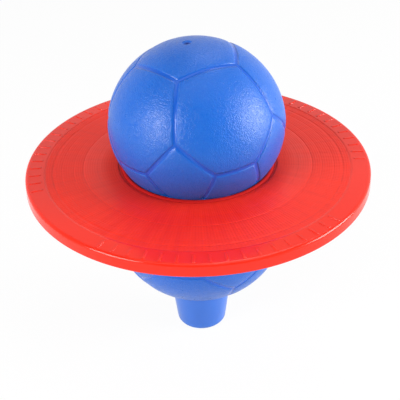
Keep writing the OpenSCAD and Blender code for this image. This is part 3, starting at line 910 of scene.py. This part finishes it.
def add_camera(stage):
    """The camera at the photograph's angle, with no shift, placed about the middle of the rim band."""
    e, pitch, yaw, roll = stage.camera_elevation, stage.camera_pitch, stage.camera_yaw, stage.camera_roll
    back = np.array([0.0, -math.cos(e), math.sin(e)])
    right = np.array([1.0, 0.0, 0.0])
    up = np.cross(right, -back)
    place = np.array([0.0, 0.0, DECK_Z * MM]) + stage.camera_distance * back
    level = right * math.sin(yaw) - back * math.cos(yaw)
    forward = level * math.cos(pitch) + up * math.sin(pitch)
    right = np.cross(forward, up)
    right /= np.linalg.norm(right)
    up = np.cross(right, forward)
    c, s = math.cos(roll), math.sin(roll)
    data = bpy.data.cameras.new("studio_camera")
    data.sensor_width = 36.0
    data.lens = stage.camera_lens
    camera = place_object("studio_camera", data, place, right * c - up * s, right * s + up * c, -forward)
    bpy.context.scene.camera = camera


def add_softbox(name, azimuth, elevation, distance, width, height, power):
    """A rectangular lamp at an azimuth and an elevation about the ball's middle, which it faces."""
    middle = np.array([0.0, 0.0, BALL_MIDDLE_Z])
    out = pointing(RIGHT - elevation, azimuth)
    side = np.array([-math.sin(azimuth), math.cos(azimuth), 0.0])
    data = bpy.data.lights.new(name, "AREA")
    data.shape = "RECTANGLE"
    data.size, data.size_y = width, height
    data.energy = power
    place_object(name, data, middle + distance * out, side, np.cross(out, side), out)


def add_world(stage):
    """A white studio, darker overhead and on the camera's side.

    It is plain white to the camera, keeps its full strength in mirrored and transmitted rays, and
    lights surfaces with the ambient share of it.
    """
    world = bpy.data.worlds.new("white_studio")
    bpy.context.scene.world = world
    world.use_nodes = True
    tree = world.node_tree
    tree.nodes.clear()
    rays = add_node(tree, "ShaderNodeLightPath").outputs
    mirrored = add_node(
        tree, "ShaderNodeMath", {"operation": "MAXIMUM"},
        links={0: rays["Is Glossy Ray"], 1: rays["Is Transmission Ray"]})
    level = add_node(
        tree, "ShaderNodeMapRange", None, {"To Min": stage.ambient, "To Max": 1.0}, {"Value": mirrored})

    # Dimmer on the camera's side and on its left, as the dot product tells, and dimmer overhead
    towards = add_node(tree, "ShaderNodeTexCoord").outputs["Generated"]
    depth = add_node(
        tree, "ShaderNodeVectorMath", {"operation": "DOT_PRODUCT"}, {1: (0.42, 0.91, 0.0)}, {0: towards})
    height = add_node(tree, "ShaderNodeSeparateXYZ", links={"Vector": towards}).outputs["Z"]
    shares = (
        (depth.outputs["Value"], -0.8, 0.3, stage.front_share, 1.0),
        (height, 0.45, 0.9, 1.0, stage.ceiling_share),
    )
    for source, start, end, before, after in shares:
        share = add_node(
            tree, "ShaderNodeMapRange", {"interpolation_type": "SMOOTHSTEP"},
            {"From Min": start, "From Max": end, "To Min": before, "To Max": after}, {"Value": source})
        level = add_node(tree, "ShaderNodeMath", {"operation": "MULTIPLY"}, links={0: level, 1: share})
    level = add_node(
        tree, "ShaderNodeMath", {"operation": "MAXIMUM"}, links={0: level, 1: rays["Is Camera Ray"]})
    light = add_node(
        tree, "ShaderNodeBackground", None, {"Color": (1.0, 1.0, 1.0, 1.0)}, {"Strength": level})
    add_node(tree, "ShaderNodeOutputWorld", links={"Surface": light})


def paper_floor(stage):
    """Matt white paper: diffuse, so it keeps the shadow, and clear from below, to show the underside.

    Part of it is plain white to the camera and in mirrored and transmitted rays.
    """
    material, tree, place = new_material("paper_matt_white")

    # Fibres about 3 mm apart, which is as fine as the render shows
    fibre = add_node(tree, "ShaderNodeTexNoise", None, {"Scale": 300.0, "Detail": 2.0}, {"Vector": place})
    tone = add_node(
        tree, "ShaderNodeMix", {"data_type": "RGBA"},
        {MIX_A: stage.floor_colour, MIX_B: (0.93, 0.93, 0.93, 1.0)},
        {MIX_FACTOR: fibre}).outputs[MIX_COLOUR]
    paper = add_node(tree, "ShaderNodeBsdfDiffuse", links={"Color": tone})

    # Plain white to those rays, and nothing from below
    white = add_node(tree, "ShaderNodeEmission", None, {"Color": (1.0, 1.0, 1.0, 1.0), "Strength": 1.0})
    rays = add_node(tree, "ShaderNodeLightPath").outputs
    seen = rays["Is Camera Ray"]
    for name in ("Is Glossy Ray", "Is Transmission Ray"):
        seen = add_node(tree, "ShaderNodeMath", {"operation": "MAXIMUM"}, links={0: seen, 1: rays[name]})
    share = add_node(tree, "ShaderNodeMath", {"operation": "MULTIPLY"}, {1: stage.floor_white}, {0: seen})
    mixed = add_node(tree, "ShaderNodeMixShader", links={0: share, 1: paper, 2: white})
    below = add_node(tree, "ShaderNodeNewGeometry").outputs["Backfacing"]
    clear = add_node(tree, "ShaderNodeBsdfTransparent")
    sheet = add_node(tree, "ShaderNodeMixShader", links={0: below, 1: mixed, 2: clear})
    add_node(tree, "ShaderNodeOutputMaterial", links={"Surface": sheet})
    return material


def add_floor(stage):
    """A wide level sheet of paper under the foot."""
    half = stage.floor_size / 2.0
    corners = [(-half, -half, 0.0), (half, -half, 0.0), (half, half, 0.0), (-half, half, 0.0)]
    mesh = bpy.data.meshes.new("paper_floor")
    mesh.from_pydata(corners, [], [(0, 1, 2, 3)])
    mesh.materials.append(paper_floor(stage))
    floor = bpy.data.objects.new("paper_floor", mesh)
    bpy.context.scene.collection.objects.link(floor)


# Settings


def distance_property(name, description, millimetres):
    """A length that a user may change, shown in the scene's units and kept in metres."""
    return bpy.props.FloatProperty(
        name=name, description=description, default=millimetres * MM, min=0.0, precision=5,
        subtype="DISTANCE", unit="LENGTH")


def angle_property(name, description, degrees):
    """An angle that a user may change."""
    return bpy.props.FloatProperty(
        name=name, description=description, default=math.radians(degrees),
        subtype="ANGLE", unit="ROTATION")


def share_property(name, description, share):
    """A part of the whole that a user may change."""
    return bpy.props.FloatProperty(
        name=name, description=description, default=share, min=0.0, max=1.0, subtype="FACTOR")


def count_property(name, description, count, least):
    """A number of things that a user may change."""
    return bpy.props.IntProperty(name=name, description=description, default=count, min=least)


def colour_property(name, description, code):
    """A colour that a user may change, from its sRGB code."""
    return bpy.props.FloatVectorProperty(
        name=name, description=description, default=linear_colour(code),
        size=4, min=0.0, max=1.0, subtype="COLOR")


class HopperBallSkin(bpy.types.PropertyGroup):
    """Sizes and colours of the ball and its valve."""
    wall: distance_property("Wall", "Thickness of the vinyl", 2.6)
    groove_width: distance_property("Groove width", "Width of a seam groove at the surface", 6.6)
    groove_floor: distance_property("Groove floor", "Width of a seam groove's flat floor", 2.4)
    groove_depth: distance_property("Groove depth", "Depth of a seam groove", 0.85)
    groove_step: distance_property("Groove step", "Depth that the relief adds in a groove", 0.3)
    pillow_reach: distance_property("Pillow reach", "How far from a seam its panels begin to sink", 7.0)
    pillow_depth: distance_property("Pillow depth", "How far the panels sink towards their seams", 0.35)
    rows: count_property("Rows", "Rows of faces down each lobe", 170, 40)
    columns: count_property("Columns", "Faces round each lobe", 440, 60)
    colour: colour_property("Vinyl", "Colour of the vinyl", "#0E61C4")
    colour_cloud: colour_property("Vinyl clouds", "Colour of the vinyl's paler clouds", "#1469CC")
    # Painted shade: the deeper colour given down in the seam grooves
    groove_shade_colour: colour_property("Grooves", "Colour down in the seam grooves", "#0255C4")
    colour_valve: colour_property("Valve", "Colour of the valve's rubber", "#0C3C9E")
    colour_bloom: colour_property("Valve bloom", "Colour of the bloom on the valve's rubber", "#184AAC")
    # Painted shade: the near black down the valve's bore
    bore_shade_colour: colour_property("Bore", "Colour of the grease down the valve's bore", "#05070C")


class HopperPlatform(bpy.types.PropertyGroup):
    """Sizes and colours of the platform."""
    skirt_flare: distance_property("Skirt flare", "Spread of the skirt from top to bottom", 0.4)
    sink: distance_property("Sink", "Depth of the sink marks over the spokes", 0.09)
    columns: count_property("Columns", "Faces round the deck", 360, 60)
    spokes: count_property("Spokes", "Number of spokes below the deck", 30, 3)
    spoke_bearing: angle_property("First spoke", "Bearing of the first spoke", 3.0)
    rib_thickness: distance_property("Rib thickness", "Thickness of a spoke or ring rib", 2.0)
    mark_groups: count_property("Mark groups", "Groups of grip marks", 3, 1)
    marks: count_property("Marks", "Grip marks in a group", 17, 1)
    mark_pitch: angle_property("Mark pitch", "Angle between two grip marks", 5.0)
    mark_bearing: angle_property("First group", "Bearing of the first group's middle", -82.0)
    mark_length: distance_property("Mark length", "Radial length of a grip mark", 13.0)
    mark_width: distance_property("Mark width", "Width of a grip mark", 3.0)
    mark_height: distance_property("Mark height", "Height of a grip mark", 0.5)
    colour: colour_property("Plastic", "Colour of the platform's plastic", "#EC2008")
    colour_flow: colour_property("Flow marks", "Colour of the paler flow marks", "#F82C12")
    # Painted shade: the lip's deeper red stands for the shade under the ball's overhang
    lip_shade_colour: colour_property("Lip", "Colour of the lip, stained by the turning vinyl", "#C00603")
    # Painted shade: the deeper red down between the tread's ridges
    valley_shade_colour: colour_property("Valleys", "Colour down between the tread's ridges", "#CC0A06")


class HopperFoot(bpy.types.PropertyGroup):
    """Sizes and colours of the foot."""
    wall: distance_property("Wall", "Thickness of the foot's side", 3.0)
    seat_gap: distance_property("Seat gap", "Gap between the foot's rim and the ball", SEAT_GAP)
    columns: count_property("Columns", "Faces round the foot", 160, 24)
    colour: colour_property("Foot", "Colour of the foot's vinyl", "#2C6DCE")
    colour_scuff: colour_property("Scuffs", "Colour of the scuffs at the ground", "#447ECC")


class HopperStage(bpy.types.PropertyGroup):
    """Camera, world and floor of the studio."""
    camera_distance: distance_property("Camera distance", "From the rim band's middle to the camera", 911.55)
    camera_elevation: angle_property("Camera elevation", "Angle of the camera above the rim band", 30.848)
    camera_pitch: angle_property("Camera pitch", "How far the view is above the rim band's middle", -2.834)
    camera_yaw: angle_property("Camera yaw", "How far the view is to the right of that middle", 0.083)
    camera_roll: angle_property("Camera roll", "How far the camera leans about its view", 1.522)
    camera_lens: bpy.props.FloatProperty(
        name="Lens", description="Focal length on a sensor 36 mm wide", default=73.59, unit="CAMERA")
    ambient: share_property("Ambient", "Share of the studio's white that lights surfaces", 0.35)
    ceiling_share: share_property("Ceiling share", "Share of the studio's white overhead", 0.4)
    front_share: share_property("Front share", "Share of the studio's white on the camera's side", 0.4)
    floor_size: distance_property("Floor size", "Length and width of the paper floor", 8000.0)
    floor_white: share_property("Floor white", "Share of plain white in the floor to the camera", 0.95)
    floor_colour: colour_property("Floor", "Colour of the paper floor", "#F4F4F4")


# Operators


def make_lobe(name, shape_of, ball):
    """A lobe of the ball, with the seams' distances on its points."""
    shape, seam = shape_of(ball)
    piece = make_piece(name, shape, "ball", grained_vinyl(ball), 60.0)
    add_value(piece.data, "seam_distance", seam)
    return piece


class HOPPER_OT_upper_lobe(bpy.types.Operator):
    """Makes the upper lobe of the ball, with its seams and the hole for the valve"""
    bl_idname = "hopper.upper_lobe"
    bl_label = "Upper lobe"

    def execute(self, context):
        piece = make_lobe("upper_lobe", upper_lobe_shape, context.scene.hopper_skin)
        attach(piece, "ball")
        return {"FINISHED"}


class HOPPER_OT_lower_lobe(bpy.types.Operator):
    """Makes the lower lobe of the ball, which on the real toy flattens as the foot is pressed up"""
    bl_idname = "hopper.lower_lobe"
    bl_label = "Lower lobe"

    def execute(self, context):
        piece = make_lobe("lower_lobe", lower_lobe_shape, context.scene.hopper_skin)
        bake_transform(piece)
        return {"FINISHED"}


class HOPPER_OT_needle_valve(bpy.types.Operator):
    """Makes the rubber needle valve in the ball's boss"""
    bl_idname = "hopper.needle_valve"
    bl_label = "Needle valve"

    def execute(self, context):
        shape, in_bore = valve_shape()
        rubber = valve_rubber(context.scene.hopper_skin)
        piece = make_piece("needle_valve", shape, "valve", rubber)
        add_value(piece.data, "bore", in_bore)
        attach(piece, "ball")
        return {"FINISHED"}


class HOPPER_OT_platform(bpy.types.Operator):
    """Makes the platform: its deck, the spokes and ring ribs below it, and the grip marks on it"""
    bl_idname = "hopper.platform"
    bl_label = "Platform"

    def execute(self, context):
        platform = context.scene.hopper_platform
        plastic = tread_polypropylene(platform)
        shapes = {"deck": deck_shape, "spokes": spokes_shape, "grip_marks": grip_marks_shape}
        for name, shape in shapes.items():
            piece = make_piece(name, shape(platform), "platform", plastic)
            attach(piece, "platform")
        return {"FINISHED"}


class HOPPER_OT_foot_cup(bpy.types.Operator):
    """Makes the foot under the lower lobe"""
    bl_idname = "hopper.foot_cup"
    bl_label = "Foot"

    def execute(self, context):
        foot = context.scene.hopper_foot
        piece = make_piece("foot_cup", foot_shape(foot), "foot", smooth_vinyl(foot))
        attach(piece, "foot")
        return {"FINISHED"}


class HOPPER_OT_stage(bpy.types.Operator):
    """Makes the studio: camera, lamps, world and paper floor"""
    bl_idname = "hopper.stage"
    bl_label = "Studio"

    def execute(self, context):
        stage = context.scene.hopper_stage
        context.scene.view_settings.view_transform = "Standard"
        add_camera(stage)
        add_world(stage)
        add_floor(stage)
        for name, (azimuth, elevation, *rest) in SOFTBOXES.items():
            add_softbox(name, math.radians(azimuth), math.radians(elevation), *rest)
        return {"FINISHED"}


class HOPPER_PT_panel(bpy.types.Panel):
    """Lists the pieces of the hopper ball and the sizes and colours that can be changed"""
    bl_idname = "HOPPER_PT_panel"
    bl_label = "Hopper ball"
    bl_space_type = "VIEW_3D"
    bl_region_type = "UI"
    bl_category = "Hopper ball"

    def draw(self, context):
        layout = self.layout
        for operator in OPERATORS:
            layout.operator(operator.bl_idname)
        for name, kind in SETTINGS.items():
            box = layout.box()
            box.label(text=kind.__doc__)
            for key in kind.__annotations__:
                box.prop(getattr(context.scene, name), key)


SETTINGS = {
    "hopper_skin": HopperBallSkin,
    "hopper_platform": HopperPlatform,
    "hopper_foot": HopperFoot,
    "hopper_stage": HopperStage,
}
OPERATORS = (
    HOPPER_OT_upper_lobe,
    HOPPER_OT_lower_lobe,
    HOPPER_OT_needle_valve,
    HOPPER_OT_platform,
    HOPPER_OT_foot_cup,
    HOPPER_OT_stage,
)


def register():
    """Registers the settings, operators and panel, and puts the settings on the scene."""
    for name, kind in SETTINGS.items():
        bpy.utils.register_class(kind)
        setattr(bpy.types.Scene, name, bpy.props.PointerProperty(type=kind))
    for kind in (*OPERATORS, HOPPER_PT_panel):
        bpy.utils.register_class(kind)


def unregister():
    """Takes back what register adds."""
    for kind in (HOPPER_PT_panel, *reversed(OPERATORS)):
        bpy.utils.unregister_class(kind)
    for name, kind in reversed(SETTINGS.items()):
        delattr(bpy.types.Scene, name)
        bpy.utils.unregister_class(kind)


def main():
    register()
    bpy.ops.hopper.stage()
    bpy.ops.hopper.upper_lobe()
    bpy.ops.hopper.lower_lobe()
    bpy.ops.hopper.needle_valve()
    bpy.ops.hopper.platform()
    bpy.ops.hopper.foot_cup()
    bpy.context.view_layer.update()


if __name__ == "__main__":
    main()
